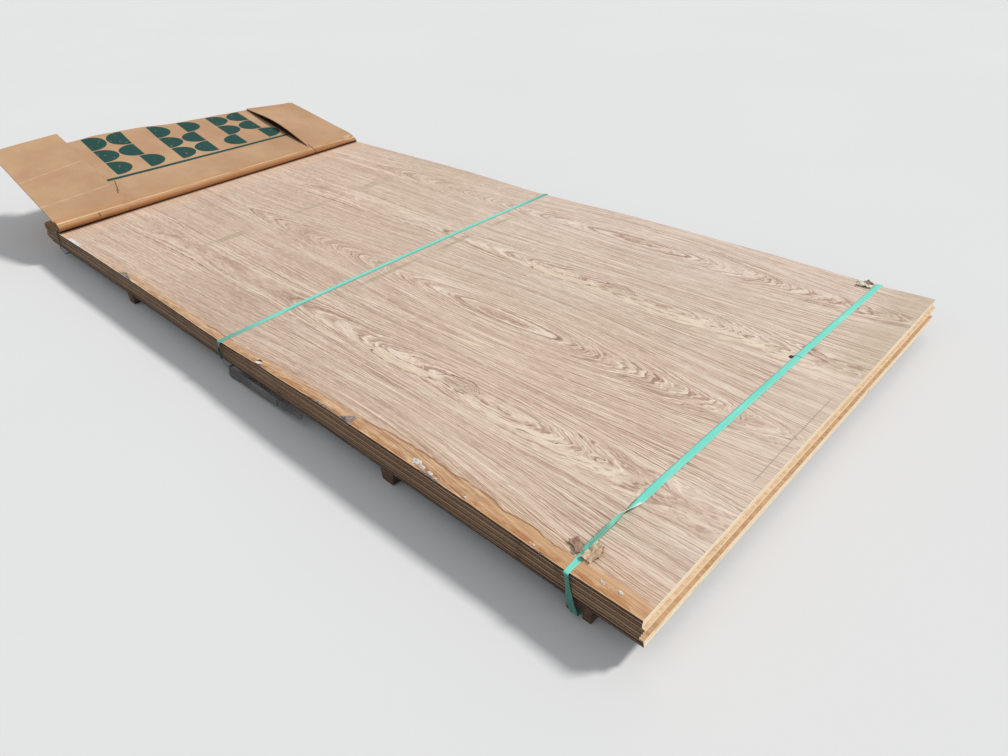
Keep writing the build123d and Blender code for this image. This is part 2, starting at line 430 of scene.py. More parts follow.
def torn_grain(g, x, y):
    """The two torn patches of the top veneer, one log turn apart: the bare wood, its dark lines and the
    pale bump by it."""
    local = ((y - TORN_TURN) / LOG_TURN).fraction() * LOG_TURN + TORN_TURN
    jag = g.noise(x * 45, local * 30, 3, detail=3, roughness=0.6) - 0.5
    upper = g.curve(x, TORN_UPPER) + jag * 0.007 - local
    lower = local - g.curve(x, TORN_LOWER) + jag * 0.005
    gap = upper.at_most(lower)
    window = x.band(0.483, 0.163, 0.002)
    lobe = x.step(0.525, 0.565)
    patch = gap.step(-0.0004, 0.0008) * window * (1 - lobe * 0.75)
    cracks = g.noise(x * 18, local * 240, 7)
    broken = g.noise(x * 45, local * 20, 5, detail=1)
    arcs = (gap * 190 + cracks * 0.3 + jag * 0.9).fraction().band(0.5, 0.12, 0.2)
    rim = gap.band(0, 0.0006, 0.0009) * window * broken.step(0.36, 0.52)
    rim = rim + arcs * gap.step(0, 0.002) * window * lobe * 0.55 + spots(x, local, TORN_NICKS)
    bump = x.band(0.436, 0.030, 0.004) * (local + jag * 0.008).band(-0.3735, 0.009, 0.003)
    return patch, rim.at_most(1), bump, local, cracks


def veneer_figure(g, x, y):
    """The clean veneer's colour, from slow drifts down to single rings and pores, and its relief."""
    rings, loop, log_y, log_z = log_figure(g, x, y)
    part, number = rings.fraction(), rings.floor()
    bold = g.dice(number).step(0.60, 0.80)
    group = g.noise(rings * 0.11, x * 0.6, detail=1).step(0.35, 0.65)
    line = part.step(0.24 + bold * 0.10, 0.02) * part.step(-0.02, 0.06)
    dark = line * (0.42 + 0.80 * bold) * (0.45 + 0.9 * group) * loop.step(0.85, 1)
    dark = dark.at_least(loop.band(1, 0.03, 0.05) * 0.9).at_most(1)
    pale = part.band(0.68, 0.10, 0.14) * g.dice(number + 57).power(2)
    drift = g.noise(x * 0.9, y * 1.6)
    streak = g.noise(x * 0.8, log_y * 34, log_z * 34, detail=3)
    grain = g.noise(rings * 1.9, x * 3.2, y * 28, detail=3, roughness=0.65)
    contrast = 0.55 + 0.42 * x.step(-0.2, 0.3)
    # Pale streak that runs slantwise between the cathedrals, once in each turn of the log
    slant = ((y - 0.302 - (x - 0.2) * 0.059 + 0.278) / LOG_TURN).fraction() * LOG_TURN - 0.278
    ragged = g.noise(x * 5, y * 60) - 0.5
    broken = g.noise(x * 7, y * 30, 4).step(0.36, 0.56)
    ray = (slant + ragged * 0.022).band(0, 0.001, 0.006) * x.step(-0.15, 0.2) * x.step(0.9, 0.5)
    pores = g.noise(x * 14, y * 420, roughness=0.65)
    flecks = g.noise(x * 30 + 9, y * 480, detail=1)
    colour = g.coats(
        g.mix(drift.step(0.35, 0.65), (207, 184, 164), (216, 190, 172)),
        (x.step(-0.5, 0.1) * y.step(-0.2, 0.45) * 0.60, (230, 211, 198)),
        (x.band(0.02, 0.32, 0.25) * y.step(0.1, -0.35) * 0.40, (184, 160, 141)),
        (streak.step(0.5, 0.70) * 0.75, (236, 216, 196)),
        (streak.step(0.46, 0.28) * 0.60, (188, 156, 137)),
        (grain.step(0.50, 0.64) * contrast, (242, 225, 208)),
        (grain.step(0.50, 0.36) * contrast, (166, 132, 112)),
        (dark * 0.85, (146, 108, 88)),
        (pale * (contrast * 0.8), (241, 224, 206)),
        (ray * broken * 0.75, (244, 226, 200)),
        (pores.step(0.5, 0.70) * 0.55, (160, 126, 106)),
        (flecks.step(0.54, 0.74) * 0.6, (246, 232, 214)),
    )
    return colour, part * 0.35 + pores * 0.5 + grain * 0.4, pores


def water_stain(g, x, y, inward, colour):
    """Orange-brown water stain along the near long edge, with a dark line where the water stopped."""
    shore = g.noise(x * 5, 2, detail=4, roughness=0.6)
    width = 0.010 + shore * (0.028 + x.step(0.45, 0.62) * 0.024) - x.step(0.85, 1.08) * 0.006
    past = inward - width
    wet = past.step(0.006, -0.004)
    strength = x.step(-0.9, -0.35) * 0.62 + x.step(0, 0.2) * 0.16
    colour = g.tint(past.step(0.06, 0) * strength * 0.8, colour, (0.93, 0.84, 0.75))
    blotch = g.noise(x * 22, y * 60, detail=4, roughness=0.65)
    soaked = g.mix(blotch.step(0.35, 0.65), (1.0, 0.86, 0.66, 1.0), (0.83, 0.66, 0.48, 1.0))
    colour = g.mix(wet * (strength + 0.15), colour, soaked, "MULTIPLY")
    colour = g.mix(wet * x.step(0.80, 1) * 0.45, colour, (210, 166, 122))
    edge = (inward - shore * 0.022).step(0.004, -0.002) * blotch.step(0.40, 0.55)
    colour = g.tint(edge * strength, colour, (0.80, 0.62, 0.44))
    tide = past.band(0, 0.0005, 0.0020) * x.band(0.79, 0.24, 0.04) * blotch.step(0.3, 0.45)
    small = (inward - 0.022 - (shore - 0.5) * 0.05).band(0, 0.0005, 0.0018) * x.band(-0.045, 0.05, 0.02)
    return g.mix((tide + small) * 0.75, colour, (132, 88, 56))


def end_casts(g, x, y, inward, colour):
    """Tan corner and olive cast at the near end, painted orange light reflected from the cardboard, a painted
    shadow along the cardboard's fold, a pale rim of painted highlight and edge wear, pencil line and the hole
    by the middle strap, painted dark for the shade inside it."""
    colour = g.tint(x.step(0.95, 1.2) * inward.step(0.13, 0.02) * 0.45, colour, (0.95, 0.84, 0.72))
    cast = g.noise(x * 7, y * 2.2, 1) - 0.5
    olive = (x + cast * 0.07).step(1.115, 1.165) * y.step(-0.10, 0.35)
    pencil = (x + cast * 0.004).band(1.198, 0.0004, 0.0016) * y.band(-0.09, 0.14, 0.03)
    # Painted reflected light: an orange tint on the sheet near the cardboard
    painted_cover_bounce = (x + cast * 0.05).step(-0.93, -1.06)
    # The hole by the middle strap, painted near black as painted shade for its shaded inside
    hole = x.band(0.1615, 0.0065, 0.001) * inward.band(0.013, 0.0032, 0.001)
    return g.coats(
        colour,
        (olive * 0.38, (190, 174, 148)),
        (pencil * 0.6, (122, 112, 100)),
        (painted_cover_bounce * 0.32, (238, 196, 158)),
        # Painted shadow on the sheet along the front of the cardboard's fold
        (x.step(FOLD_FRONT + 0.008, FOLD_FRONT + 0.001) * 0.7, (96, 66, 44)),
        (x.step(1.05, 1.16) * y.band(-0.2, 0.25, 0.2) * 0.25, (236, 218, 202)),
        # Painted highlight along the lit near edge, together with some edge wear
        (inward.step(0.0030, 0.0008) * 0.8, (244, 208, 166)),
        (hole * 0.97, (22, 14, 10)),
    )


def veneer_face():
    """The top sheet's face: pinkish-tan rotary-cut figure, torn grain, stains and old strap marks."""
    g = Graph("veneer_face", roughness=0.62, specular=0.28)
    x, y = g.place()[:2]
    colour, relief, pores = veneer_figure(g, x, y)
    patch, rim, bump, local, cracks = torn_grain(g, x, y)
    splash = g.noise(x * 16, local * 60, 8, detail=3)
    halo = abs(local + 0.392).step(0.05, 0) * x.band(0.80, 0.22, 0.1) * splash.step(0.48, 0.60)
    ghosts = spots(x, y, OLD_STRAPS) * g.noise(x * 8, y * 9, 5).step(0.36, 0.62)
    colour = g.coats(
        colour,
        (halo * 0.8, (238, 222, 200)),
        (bump * 0.6, (236, 216, 194)),
        (patch * 0.70, g.mix(cracks.step(0.35, 0.65), (240, 222, 200), (216, 192, 166))),
        (rim * 0.85, (126, 92, 70)),
        (ghosts * 0.50, (162, 154, 112)),
    )
    inward = y + HALF_WIDTH
    colour = end_casts(g, x, y, inward, water_stain(g, x, y, inward, colour))
    relief = relief - patch * (0.9 + cracks) - rim
    return g.finish(colour, relief, distance=0.0005, strength=0.55, roughness=0.55 + 0.2 * pores)


def veneer_hidden():
    """The faces of the lower sheets, which show only as narrow ledges: cream, or stained orange-brown."""
    g = Graph("veneer_hidden")
    x, y, z = g.place()
    grain = g.noise(x * 6, y * 160, z * 40, detail=3)
    stain = g.noise(x * 9, y * 6, z * 9)
    colour = g.mix(grain.step(0.3, 0.7), (158, 104, 62), (190, 136, 88))
    colour = g.mix(stain.step(0.5, 0.75) * 0.6, colour, (150, 98, 60))
    fresh = g.mix(grain.step(0.3, 0.7), (214, 184, 150), (236, 212, 180))
    return g.finish(g.mix(g.stored("stain"), fresh, colour), grain)


def ply_edge():
    """The cut edge of a sheet: thin face veneers and glue lines round a thick pale core at the ends, grey
    brown with dark joints along the long sides, where dirt and painted shade darken it."""
    g = Graph("ply_edge", roughness=0.75, specular=0.2)
    x, y, z = g.place()
    height = g.flat()[2]
    normal_x = g.split(g.node("ShaderNodeNewGeometry").outputs["Normal"])[0]
    length = x + y
    fibre = g.noise(length * 4, z * 500, detail=3, roughness=0.6)
    saw = g.noise(length * 90, z * 60)
    knots = g.noise(x * 16, y * 16, z * 260, detail=1)
    glue = height.band(0.27, 0.012, 0.03) + height.band(0.72, 0.012, 0.03)
    face = height.step(0.12, 0.05) + height.step(0.90, 0.96)
    patina = g.noise(x * 3, y * 3, z * 30)
    clean = g.coats(
        g.mix(fibre.step(0.3, 0.72), (248, 228, 192), (255, 246, 222)),
        (knots.step(0.66, 0.74) * 0.7, (176, 128, 84)),
        (glue * 0.45, (196, 152, 108)),
        (face * 0.55, (196, 154, 112)),
        (patina.step(0.5, 0.75) * 0.35, (238, 208, 162)),
    )
    seep = g.noise(length * 5, z * 45, 4, detail=3)
    joint = height.step(0.44, 0.24) + height.step(0.78, 0.92)
    drip = g.noise(length * 28, z * 7, 8)
    # The long sides: weathered grey-brown with dirt and seeping, darkened further as painted shade
    side_dirt_and_shade = g.coats(
        g.mix(fibre.step(0.3, 0.7), (148, 116, 92), (196, 160, 130)),
        (saw.step(0.5, 0.8) * 0.3, (112, 86, 70)),
        (seep.step(0.5, 0.72) * 0.5, (142, 100, 70)),
        (seep.step(0.42, 0.28) * 0.6, (118, 112, 108)),
        (glue * 0.4, (74, 54, 42)),
        (joint * (0.80 + 0.17 * x.step(0.1, 0.5)), (30, 20, 15)),
        (drip.step(0.56, 0.74) * 0.45, (74, 56, 46)),
    )
    tone = g.stored("tone")
    clean = g.mix(1.0, clean, g.vector(tone, tone * tone, tone * tone * tone), "MULTIPLY")
    shaded = g.stored("side_tone") * (0.76 + 0.24 * x.step(0, 0.5))
    side_dirt_and_shade = g.mix(1.0, side_dirt_and_shade, g.vector(shaded, shaded, shaded), "MULTIPLY")
    relief = fibre * 0.6 + saw * 0.5 - face * 0.5 - glue * 0.3
    return g.finish(g.mix(abs(normal_x).step(0.4, 0.7), side_dirt_and_shade, clean), relief, distance=0.0006)


def torn_core():
    """The weathered grey-brown wood under a lost bit of face veneer."""
    g = Graph("torn_core", roughness=0.85)
    x, y = g.place()[:2]
    grain = g.noise(x * 420, y * 40, detail=3)
    blot = g.noise(x * 70, y * 70, 3)
    colour = g.mix(grain.step(0.35, 0.65), (120, 108, 100), (172, 160, 150))
    return g.finish(g.mix(blot.step(0.5, 0.62) * 0.8, colour, (70, 60, 56)), grain, distance=0.0005)


def kraft(g, s, across):
    """Plain brown box board: mottled fibre with faint lines where the flutes lie under the face."""
    mottle = g.noise(s * 4, across * 4, detail=3, roughness=0.6)
    fibre = g.noise(s * 260, across * 150, detail=3, roughness=0.7)
    flutes = (s * (2 * pi / FLUTE_PITCH)).sine()
    smear = g.noise(s * 2, across * 14, 6)
    colour = g.coats(
        g.mix(mottle.step(0.3, 0.7), (183, 145, 112), (199, 163, 128)),
        (fibre.step(0.48, 0.75) * 0.35, (160, 122, 90)),
        (flutes.step(0.2, 1) * 0.07, (120, 88, 62)),
        (smear.step(0.55, 0.75) * 0.3, (170, 136, 108)),
    )
    return colour, fibre, flutes


# The printed block: where it starts along the cover, its cells' width and height, and its rows
PRINT_START = TUCK_LENGTH + 0.222
CELL_WIDTH, CELL_HEIGHT = 0.1256, 0.1
PRINT_ROWS = 3


def printed_block(g, s, across):
    """A plain printed design in teal ink: rows of half discs that turn about, over a plain band."""
    column = (across - LEFT_FLAP_EDGE) / CELL_WIDTH
    row = (s - PRINT_START) / CELL_HEIGHT
    middle = column.fraction() - 0.5
    turn = (g.dice(column.floor() * 3 + row.floor() * 17 + 2) - 0.5).step(-0.001, 0.001) * 2 - 1
    disc = hypotenuse(middle, row.fraction() - 0.5)
    half_disc = (middle * turn + 0.10).step(-0.012, 0.012) * disc.step(0.492, 0.470)
    half_height = CELL_HEIGHT * PRINT_ROWS / 2
    ink = half_disc * s.band(PRINT_START + half_height, half_height - 0.002, 0.001)
    ink = ink + s.band(PRINT_START - 0.017, 0.007, 0.001)
    rub = g.noise(s * 55, across * 55, 2, detail=4, roughness=0.7)
    return ink * across.band(0.015, 0.377, 0.001) * rub.step(0.3, 0.38)


def cover_face():
    """The upper face of the folded cover, with the generic printed block on its middle."""
    g = Graph("cover_face", roughness=0.8, specular=0.2)
    s, across = g.flat()[:2]
    past = s - TUCK_LENGTH
    colour, fibre, flutes = kraft(g, s, across)
    fold = past.band(0.022, 0.02, 0.022)
    ridge = g.noise(s * 300, across * 10, 2)
    worn = g.noise(s * 30, across * 30, 9, detail=3)
    torn = across.step(0.53, 0.6) * past.band(0.03, 0.022, 0.014) * worn.step(0.48, 0.54)
    crack = (across + 0.340 + (0.3188 - s) * 0.278).band(0, 0.0012, 0.001) * s.band(0.268, 0.050, 0.004)
    nick = across.band(-0.470, 0.0014, 0.001) * past.band(0.027, 0.004, 0.003)
    cut = across.band(0.400, 0.0012, 0.001) * past.band(0.035, 0.035, 0.006)
    colour = g.coats(
        colour,
        (fold * 0.60, (190, 146, 104)),
        (fold * ridge.step(0.55, 0.75) * 0.5, (222, 184, 142)),
        (fold * ridge.step(0.45, 0.3) * 0.45, (150, 104, 68)),
        (printed_block(g, s, across) * 0.97, (0, 68, 66)),
        (torn * 0.8, (228, 202, 168)),
        (g.stored("crease").step(0.3, 1) * 0.55, (226, 194, 162)),
        # Painted highlight along the top crease of the fold
        (past.band(0.036, 0.0012, 0.002) * ridge.step(0.35, 0.5) * 0.7, (240, 208, 166)),
        # Painted shade on the fold's front, and a painted shadow where its lower edge meets the sheet
        (past.step(0.030, 0.018) * 0.75, (158, 102, 58)),
        (past.step(0.013, 0.007) * 0.95, (44, 28, 18)),
        ((crack + nick + cut) * 0.8, (70, 44, 28)),
        # Painted shadow on the panel in the gap under the right flap
        (g.stored("painted_flap_shadow") * 0.95, (22, 14, 10)),
    )
    relief = fibre * 0.35 + flutes * 0.3 + ridge * fold * 0.8
    return g.finish(colour, relief, distance=0.0005, strength=0.5)


def cover_inside():
    """The inner face and the cut edges of the box board."""
    g = Graph("cover_inside", roughness=0.85, specular=0.2)
    s, across = g.flat()[:2]
    colour, fibre, flutes = kraft(g, s, across)
    return g.finish(g.mix(0.35, colour, (170, 132, 98)), fibre * 0.4 + flutes * 0.3, distance=0.0005)


# The strap's rolled pattern comes back over this length
KNURL_PITCH = 0.0021


def strap_band():
    """Mint green plastic strap with a rolled diamond pattern, drawn fibres and dusty scuffs, with painted
    shade where it hangs down the sides and along one edge, painted shade and highlights where the near strap
    turns, and brown where it runs down the near side by the cover."""
    g = Graph("strap_band", roughness=0.42, specular=0.45)
    along, across = g.flat()[:2]
    x, y, z = g.place()
    pitch = 2 * pi / KNURL_PITCH
    knurl = ((along + across) * pitch).sine() * ((along - across) * pitch).sine()
    drawn = g.noise(along * 6, across * 900)
    dust = g.noise(along * 9, across * 120, 2, detail=3)
    near, middle = x.step(0.9, 1), x.band(0, 0.1, 0.1)
    # Painted shade: a dark line along one edge of the near and middle straps
    edges = near * across.step(0.0058, 0.0068) + middle * across.step(-0.0030, -0.0052)
    twist = x.step(1, 1.05)
    colour = g.coats(
        g.mix(drawn.step(0.3, 0.7), (106, 220, 202), (134, 236, 218)),
        (knurl.step(0.2, 1) * 0.18, (88, 190, 172)),
        (dust.step(0.52, 0.75) * 0.4, (198, 236, 222)),
        (abs(across).step(0.0062, 0.0074) * 0.35, (184, 242, 228)),
        # Painted shade: the strap is darker where it hangs below the top of the stack
        (z.step(STACK_TOP - 0.002, STACK_TOP - 0.006) * 0.85, (60, 106, 94)),
        (edges * y.step(-0.45, -0.40) * 0.6, (44, 128, 104)),
        # Near strap at its twist: painted shade where it has turned over, a painted glint, a painted highlight
        # along one edge and a painted shadow line
        (twist * y.band(-0.535, 0.030, 0.018) * 0.50, (60, 128, 112)),
        (twist * y.band(-0.438, 0.018, 0.010) * across.step(0, -0.0045) * 0.80, (236, 250, 244)),
        (twist * y.band(-0.530, 0.036, 0.008) * across.step(0.0026, 0.0042) * 0.7, (178, 232, 206)),
        (twist * y.band(-0.470, 0.050, 0.015) * across.step(0.0046, 0.0060) * 0.9, (30, 72, 64)),
        # Brown where the strap by the cover runs down the near side
        (x.step(-0.9, -1) * y.step(-0.55, -0.60) * 0.95, (92, 78, 58)),
    )
    return g.finish(colour, knurl * 0.5 + drawn * 0.5, distance=0.0002, roughness=0.38 + 0.2 * dust)


def bearer_wood():
    """Rough-sawn runner: grey-brown, darkened as painted shade, with grain along Y, saw marks across it and
    darker towards the foot.
    """
    g = Graph("bearer_wood", roughness=0.85, specular=0.2)
    x, y, z = g.place()
    grain = g.noise(x * 90, y * 5, z * 90, detail=4, roughness=0.6)
    saw = g.noise(x * 8, y * 240, z * 8)
    stain = g.noise(x * 12, y * 4, z * 12)
    colour = g.coats(
        # Base colours darkened as painted shade, for the runners stand in shade under the stack
        g.mix(grain.step(0.3, 0.7), (76, 57, 46), (116, 93, 76)),
        (saw.step(0.55, 0.75) * 0.35, (134, 110, 92)),
        (stain.step(0.5, 0.7) * 0.5, (70, 56, 48)),
        # Darker towards the foot
        (z.step(0.008, 0) * 0.5, (76, 68, 62)),
    )
    return g.finish(colour, grain * 0.6 + saw * 0.5, distance=0.0008, strength=0.7)


def grey_board():
    """Grey fibre board under the sheets: recycled pulp with dark specks and soft delaminated edges."""
    g = Graph("grey_board", roughness=0.9, specular=0.15)
    x, y, z = g.place()
    mottle = g.noise(x * 14, y * 14, z * 60, detail=3)
    speck = g.cells(x * 130, y * 130, z * 130)
    pulp = g.noise(x * 400, y * 400, z * 400)
    streak = g.noise(x * 30, y * 3, z * 10)
    colour = g.coats(
        g.mix(mottle.step(0.3, 0.7), (98, 96, 96), (130, 127, 126)),
        (pulp.step(0.5, 0.8) * 0.3, (84, 80, 78)),
        (speck.step(0.16, 0.08) * 0.8, (58, 54, 52)),
        (streak.step(0.55, 0.7) * 0.35, (96, 86, 78)),
    )
    return g.finish(colour, pulp * 0.5 + mottle * 0.4, distance=0.0006)


def mottled(name, dark, light, scale, roughness=0.8):
    """A plain material of two colours mixed by fine noise, for small loose things."""
    g = Graph(name, roughness=roughness)
    x, y, z = g.place()
    blot = g.noise(x * scale, y * scale, z * scale, detail=4, roughness=0.65)
    fine = g.noise(x * scale * 6, y * scale * 6, z * scale * 6)
    return g.finish(g.mix(blot.step(0.3, 0.7), dark, light), blot + fine * 0.4, distance=0.0006)


def floor_paint():
    """Pale plain floor, near white to the camera and with the object's shadow on it."""
    g = Graph("floor_paint", roughness=0.9, specular=0.1)
    x, y = g.place()[:2]
    return g.finish(g.mix(g.noise(x * 0.7, y * 0.7, detail=3), (228, 229, 230), (234, 235, 236)))


class Shell:
    """The points, faces and stored values of one piece, gathered before its mesh is made."""

    def __init__(self):
        self.points = []
        self.flat = []
        self.faces = []
        self.finishes = []
        self.smooth = []

    def rows(self, grid):
        """Adds a grid of (point, flat value) and returns the numbers of its points."""
        numbers = []
        for row in grid:
            start = len(self.points)
            self.points += [point for point, flat in row]
            self.flat += [flat for point, flat in row]
            numbers.append(list(range(start, start + len(row))))
        return numbers

    def face(self, corners, finish, smoothed=False):
        self.faces.append(corners)
        self.finishes.append(finish)
        self.smooth.append(smoothed)

    def slab(self, upper, lower, finishes=(0, 0, 0), ring=False):
        """A closed slab between two grids of the same size, with the finishes of its upper face, lower
        face and rim. A ring joins its last row to its first."""
        top, low = self.rows(upper), self.rows(lower)
        over, under, rim = finishes
        columns = range(len(top[0]) - 1)
        for i in range(len(top) if ring else len(top) - 1):
            j = (i + 1) % len(top)
            for k in columns:
                self.face([top[i][k], top[j][k], top[j][k + 1], top[i][k + 1]], over, True)
                self.face([low[i][k + 1], low[j][k + 1], low[j][k], low[i][k]], under, True)
            self.face([top[j][0], top[i][0], low[i][0], low[j][0]], rim)
            self.face([top[i][-1], top[j][-1], low[j][-1], low[i][-1]], rim)
        if not ring:
            for k in columns:
                self.face([top[0][k], top[0][k + 1], low[0][k + 1], low[0][k]], rim)
                self.face([top[-1][k + 1], top[-1][k], low[-1][k], low[-1][k + 1]], rim)

    def piece(self, name, materials, replaced=None, values=None):
        """Makes the object, puts it on the one body and hides the node that it stands for."""
        mesh = bpy.data.meshes.new(name)
        mesh.from_pydata(self.points, [], self.faces)
        for material in materials:
            mesh.materials.append(material)
        mesh.polygons.foreach_set("material_index", self.finishes)
        mesh.polygons.foreach_set("use_smooth", self.smooth)
        mesh.set_sharp_from_angle(angle=radians(38))
        flat = mesh.attributes.new("flat", "FLOAT_VECTOR", "POINT")
        flat.data.foreach_set("vector", [value for triple in self.flat for value in triple])
        for key, numbers in (values or {}).items():
            mesh.attributes.new(key, "FLOAT", "POINT").data.foreach_set("value", numbers)
        mesh.update()
        made = bpy.data.objects.new(name, mesh)
        bpy.context.scene.collection.objects.link(made)
        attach(made, "root")
        if replaced:
            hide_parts(replaced)


def twin_grids(firsts, seconds, twin):
    """The upper and lower grids of a thin piece. The function twin gives both points at two stations."""
    pairs = [[twin(first, second) for second in seconds] for first in firsts]
    return [[[pair[side] for pair in row] for row in pairs] for side in (0, 1)]


def both(x, y, high, low, flat):
    """An upper and a lower point at one place, with their flat values."""
    return ((x, y, high), (*flat, 1.0)), ((x, y, low), (*flat, 0.0))


def sheet_rise(x, y, level=0):
    """How far a sheet's surface lies above its level place: pressed down at the straps, lifted between."""
    near = follow(NEAR_EDGE_RISE, x) * bell(y + HALF_WIDTH, RISE_REACH)
    total = near + follow(FAR_EDGE_RISE, x) * bell(HALF_WIDTH - y, RISE_REACH)
    if total > 0:
        return total * (LIFT_SHARES[level] if level < len(LIFT_SHARES) else 0.0)
    return total * (1 - level / len(SHEET_NAMES))


def on_top(x, y):
    """The height of the top sheet's upper face."""
    return STACK_TOP + sheet_rise(x, y)


def notch_depth(x):
    """How far the top veneer is broken back from the near long edge."""
    depth = 0.0008 * abs(wobble(x * 90, 4.0)) + 0.0006 * max(0.0, wobble(x * 14, 8.0))
    for start, end, deep, peak in NOTCHES:
        if start < x < end:
            share = (x - start) / (end - start)
            slope = share / peak if share < peak else (1 - share) / (1 - peak)
            depth = max(depth, deep * slope * (1 + 0.25 * wobble(x * 160, 2.0)))
    return depth


def sheet_grids(level, stations_x, stations_y, low, high, cut_back=False):
    """The upper and lower grids of one sheet layer between two heights in the sheet, with uneven edges."""
    node_low, node_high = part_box(SHEET_NAMES[level])
    middle = (node_low + node_high) / 2
    bottom = node_high.z - SHEET_THICKNESS

    def twin(share_x, share_y):
        x = middle.x + share_x * HALF_LENGTH
        y = middle.y + share_y * HALF_WIDTH
        place_x = x - share_x * EDGE_JITTER * (1 + wobble(y * 6, level * 3.1, share_x))
        place_y = y - share_y * EDGE_JITTER * (1 + wobble(x * 5, level * 5.3, share_y))
        if cut_back and share_y == stations_y[0]:
            place_y += notch_depth(place_x)
        base = bottom + sheet_rise(place_x, place_y, level)
        heights = [(share, base + share * SHEET_THICKNESS) for share in (high, low)]
        return [((place_x, place_y, z), (place_x, place_y, share)) for share, z in heights]

    return twin_grids(stations_x, stations_y, twin)


def unequal(count, ends):
    """Stations from -1 to 1 that lie closer together towards both ends."""
    return [sin(share * pi / 2) * ends + share * (1 - ends) for share in steps(-1, 1, count)]


def build_sheets(materials):
    """The eleven sheets. The top one has its face veneer as a layer of its own, broken at the edge."""
    for level, node in enumerate(SHEET_NAMES):
        shell = Shell()
        if level:
            shell.slab(*sheet_grids(level, unequal(80, 0.2), unequal(12, 0.7), 0.0, 1.0), (1, 1, 2))
        else:
            along = sorted({*steps(-1, 1, 150), *steps(-0.52, -0.40, 40), *steps(0.12, 0.68, 200)})
            core_top = 1 - VENEER / SHEET_THICKNESS
            shell.slab(*sheet_grids(0, unequal(110, 0.2), unequal(24, 0.6), 0.0, core_top), (3, 1, 2))
            shell.slab(*sheet_grids(0, along, unequal(26, 0.6), core_top, 1.0, True), (0, 3, 2))
        tones = {key: [values[level]] * len(shell.points) for key, values in SHEET_TONES.items()}
        shell.piece(f"sheet_{level + 1:02d}", materials, node, tones)


def blend_across(pair, y):
    """A value between the cover's left and right edges."""
    return pair[0] + (pair[1] - pair[0]) * (y + HALF_WIDTH) / (2 * HALF_WIDTH)


def fold_end(y):
    """The length from the cover's tucked end to where its fold ends and its panel starts."""
    return TUCK_LENGTH + (blend_across(FOLD_RADIUS, y) - BOARD / 2) * (pi - blend_across(FOLD_ANGLE, y))


def crease_depth(s, y):
    """The pressed creases of the cover: depth of each, from 0 to 1."""
    if y >= LEFT_FLAP_EDGE:
        return 0.0
    slope = (y + 0.59) / 0.212
    return max(bell(s - FOLD_END - start - drift * slope, 0.0035) for start, drift in CREASES)


def cover_place(s, y):
    """A point of the cover's middle surface at a length s from its tucked end, and the way it faces."""
    if s < TUCK_LENGTH:
        return Vector((FOLD_X - TUCK_LENGTH + s, y, STACK_TOP + BOARD / 2)), Vector((0, 0, -1))
    radius, rise = blend_across(FOLD_RADIUS, y), blend_across(FOLD_ANGLE, y)
    bend = radius - BOARD / 2
    past = s - fold_end(y)
    angle = (s - TUCK_LENGTH) / bend - pi / 2 if past < 0 else pi / 2 - rise
    normal = Vector((cos(angle), 0, sin(angle)))
    back = Vector((-cos(rise), 0, sin(rise)))
    return Vector((FOLD_X, y, STACK_TOP + radius)) + normal * bend + back * max(past, 0.0), normal


def cover_bulge(s, y):
    """Gentle waves, dents along the fold and the crushed right end of the cover, in metres outward."""
    past = s - TUCK_LENGTH
    if past < 0.004:
        return 0.0
    bulge = 0.0016 * wobble(s * 5, y * 4, 1.0) * smooth(0.02, 0.16, past)
    fold = bell(past - 0.03, 0.026)
    bulge += 0.0009 * wobble(s * 40, y * 16, 3.0) * fold
    bulge -= fold * sum(deep * bell(y - nick, 0.0045) for nick, deep in FOLD_NICKS)
    crushed = smooth(0.44, 0.56, y) * bell(past - 0.028, 0.035)
    bulge -= crushed * (0.0022 + 0.0022 * wobble(s * 60, y * 45, 5.0))
    bulge += 0.009 * smooth(0.40, 0.52, past) * smooth(-0.36, -0.24, y) * smooth(0.06, -0.10, y)
    return bulge - 0.0008 * crease_depth(s, y)


def board_layer(places, stations_s, stations_y, offset, swing):
    """A grid at an offset from the middle surface that places(s, y) gives, waved by a swing."""
    grid = []
    for s in stations_s:
        shift = offset + swing * sin(2 * pi * s / FLUTE_PITCH)
        on_surface = [places(s, y) for y in stations_y]
        grid.append([(p + n * shift, (s, p.y, shift / BOARD + 0.5)) for p, n in on_surface])
    return grid


def board(shell, places, stations_s, stations_y, sparse_y):
    """Corrugated board: two flat skins with a waved sheet between them, whose flutes run across. The
    first finish is on its upper face, and the second on all the rest."""
    half, inner = BOARD / 2, BOARD / 2 - LINER_SKIN
    start, end = stations_s[0], stations_s[-1]
    fine = steps(start, end, round((end - start) / FLUTE_PITCH * 7))
    layers = (
        (stations_s, stations_y, half, inner, 0.0, 0),
        (stations_s, stations_y, -inner, -half, 0.0, 1),
        (fine, sparse_y, FLUTE_HALF, -FLUTE_HALF, inner - LINER_SKIN / 2, 1),
    )
    for along, over, high, low, swing, finish in layers:
        upper, lower = (board_layer(places, along, over, offset, swing) for offset in (high, low))
        shell.slab(upper, lower, (finish, 1, 1))


def panel_places(s, y):
    """The cover's main panel, its right side and back edge a little uneven."""
    start = fold_end(y)
    reach = PANEL_REACH - 0.0015 * (1 + wobble(y * 9, 2.0))
    placed = s if s < start else start + reach * (s - start) / (PANEL_END - start)
    point, normal = cover_place(placed, y)
    return point + normal * cover_bulge(placed, y), normal


def flap_places(inner_edge, outer_edge, inner_reach, outer_reach, lift):
    """A flap on top of the panel: s runs back along it, and y from its outer to its inner edge."""

    def places(s, y):
        share = (y - outer_edge) / (inner_edge - outer_edge)
        reach = outer_reach + (inner_reach - outer_reach) * share - 0.0012 * (1 + wobble(y * 12, inner_edge))
        along = FLAP_START + (reach - FLAP_START) * (s - FOLD_END) / FLAP_RUN
        placed = fold_end(y) + along
        point, normal = cover_place(placed, y)
        arch = sin(pi * min(max((along - 0.03) / (reach - 0.03), 0), 1)) ** 1.3
        over = BOARD * smooth(0.0, 0.035, along - FLAP_START) + 0.0003 + lift * smooth(0.25, 1.0, share) * arch
        return point + normal * (cover_bulge(placed, y) + over), normal

    return places


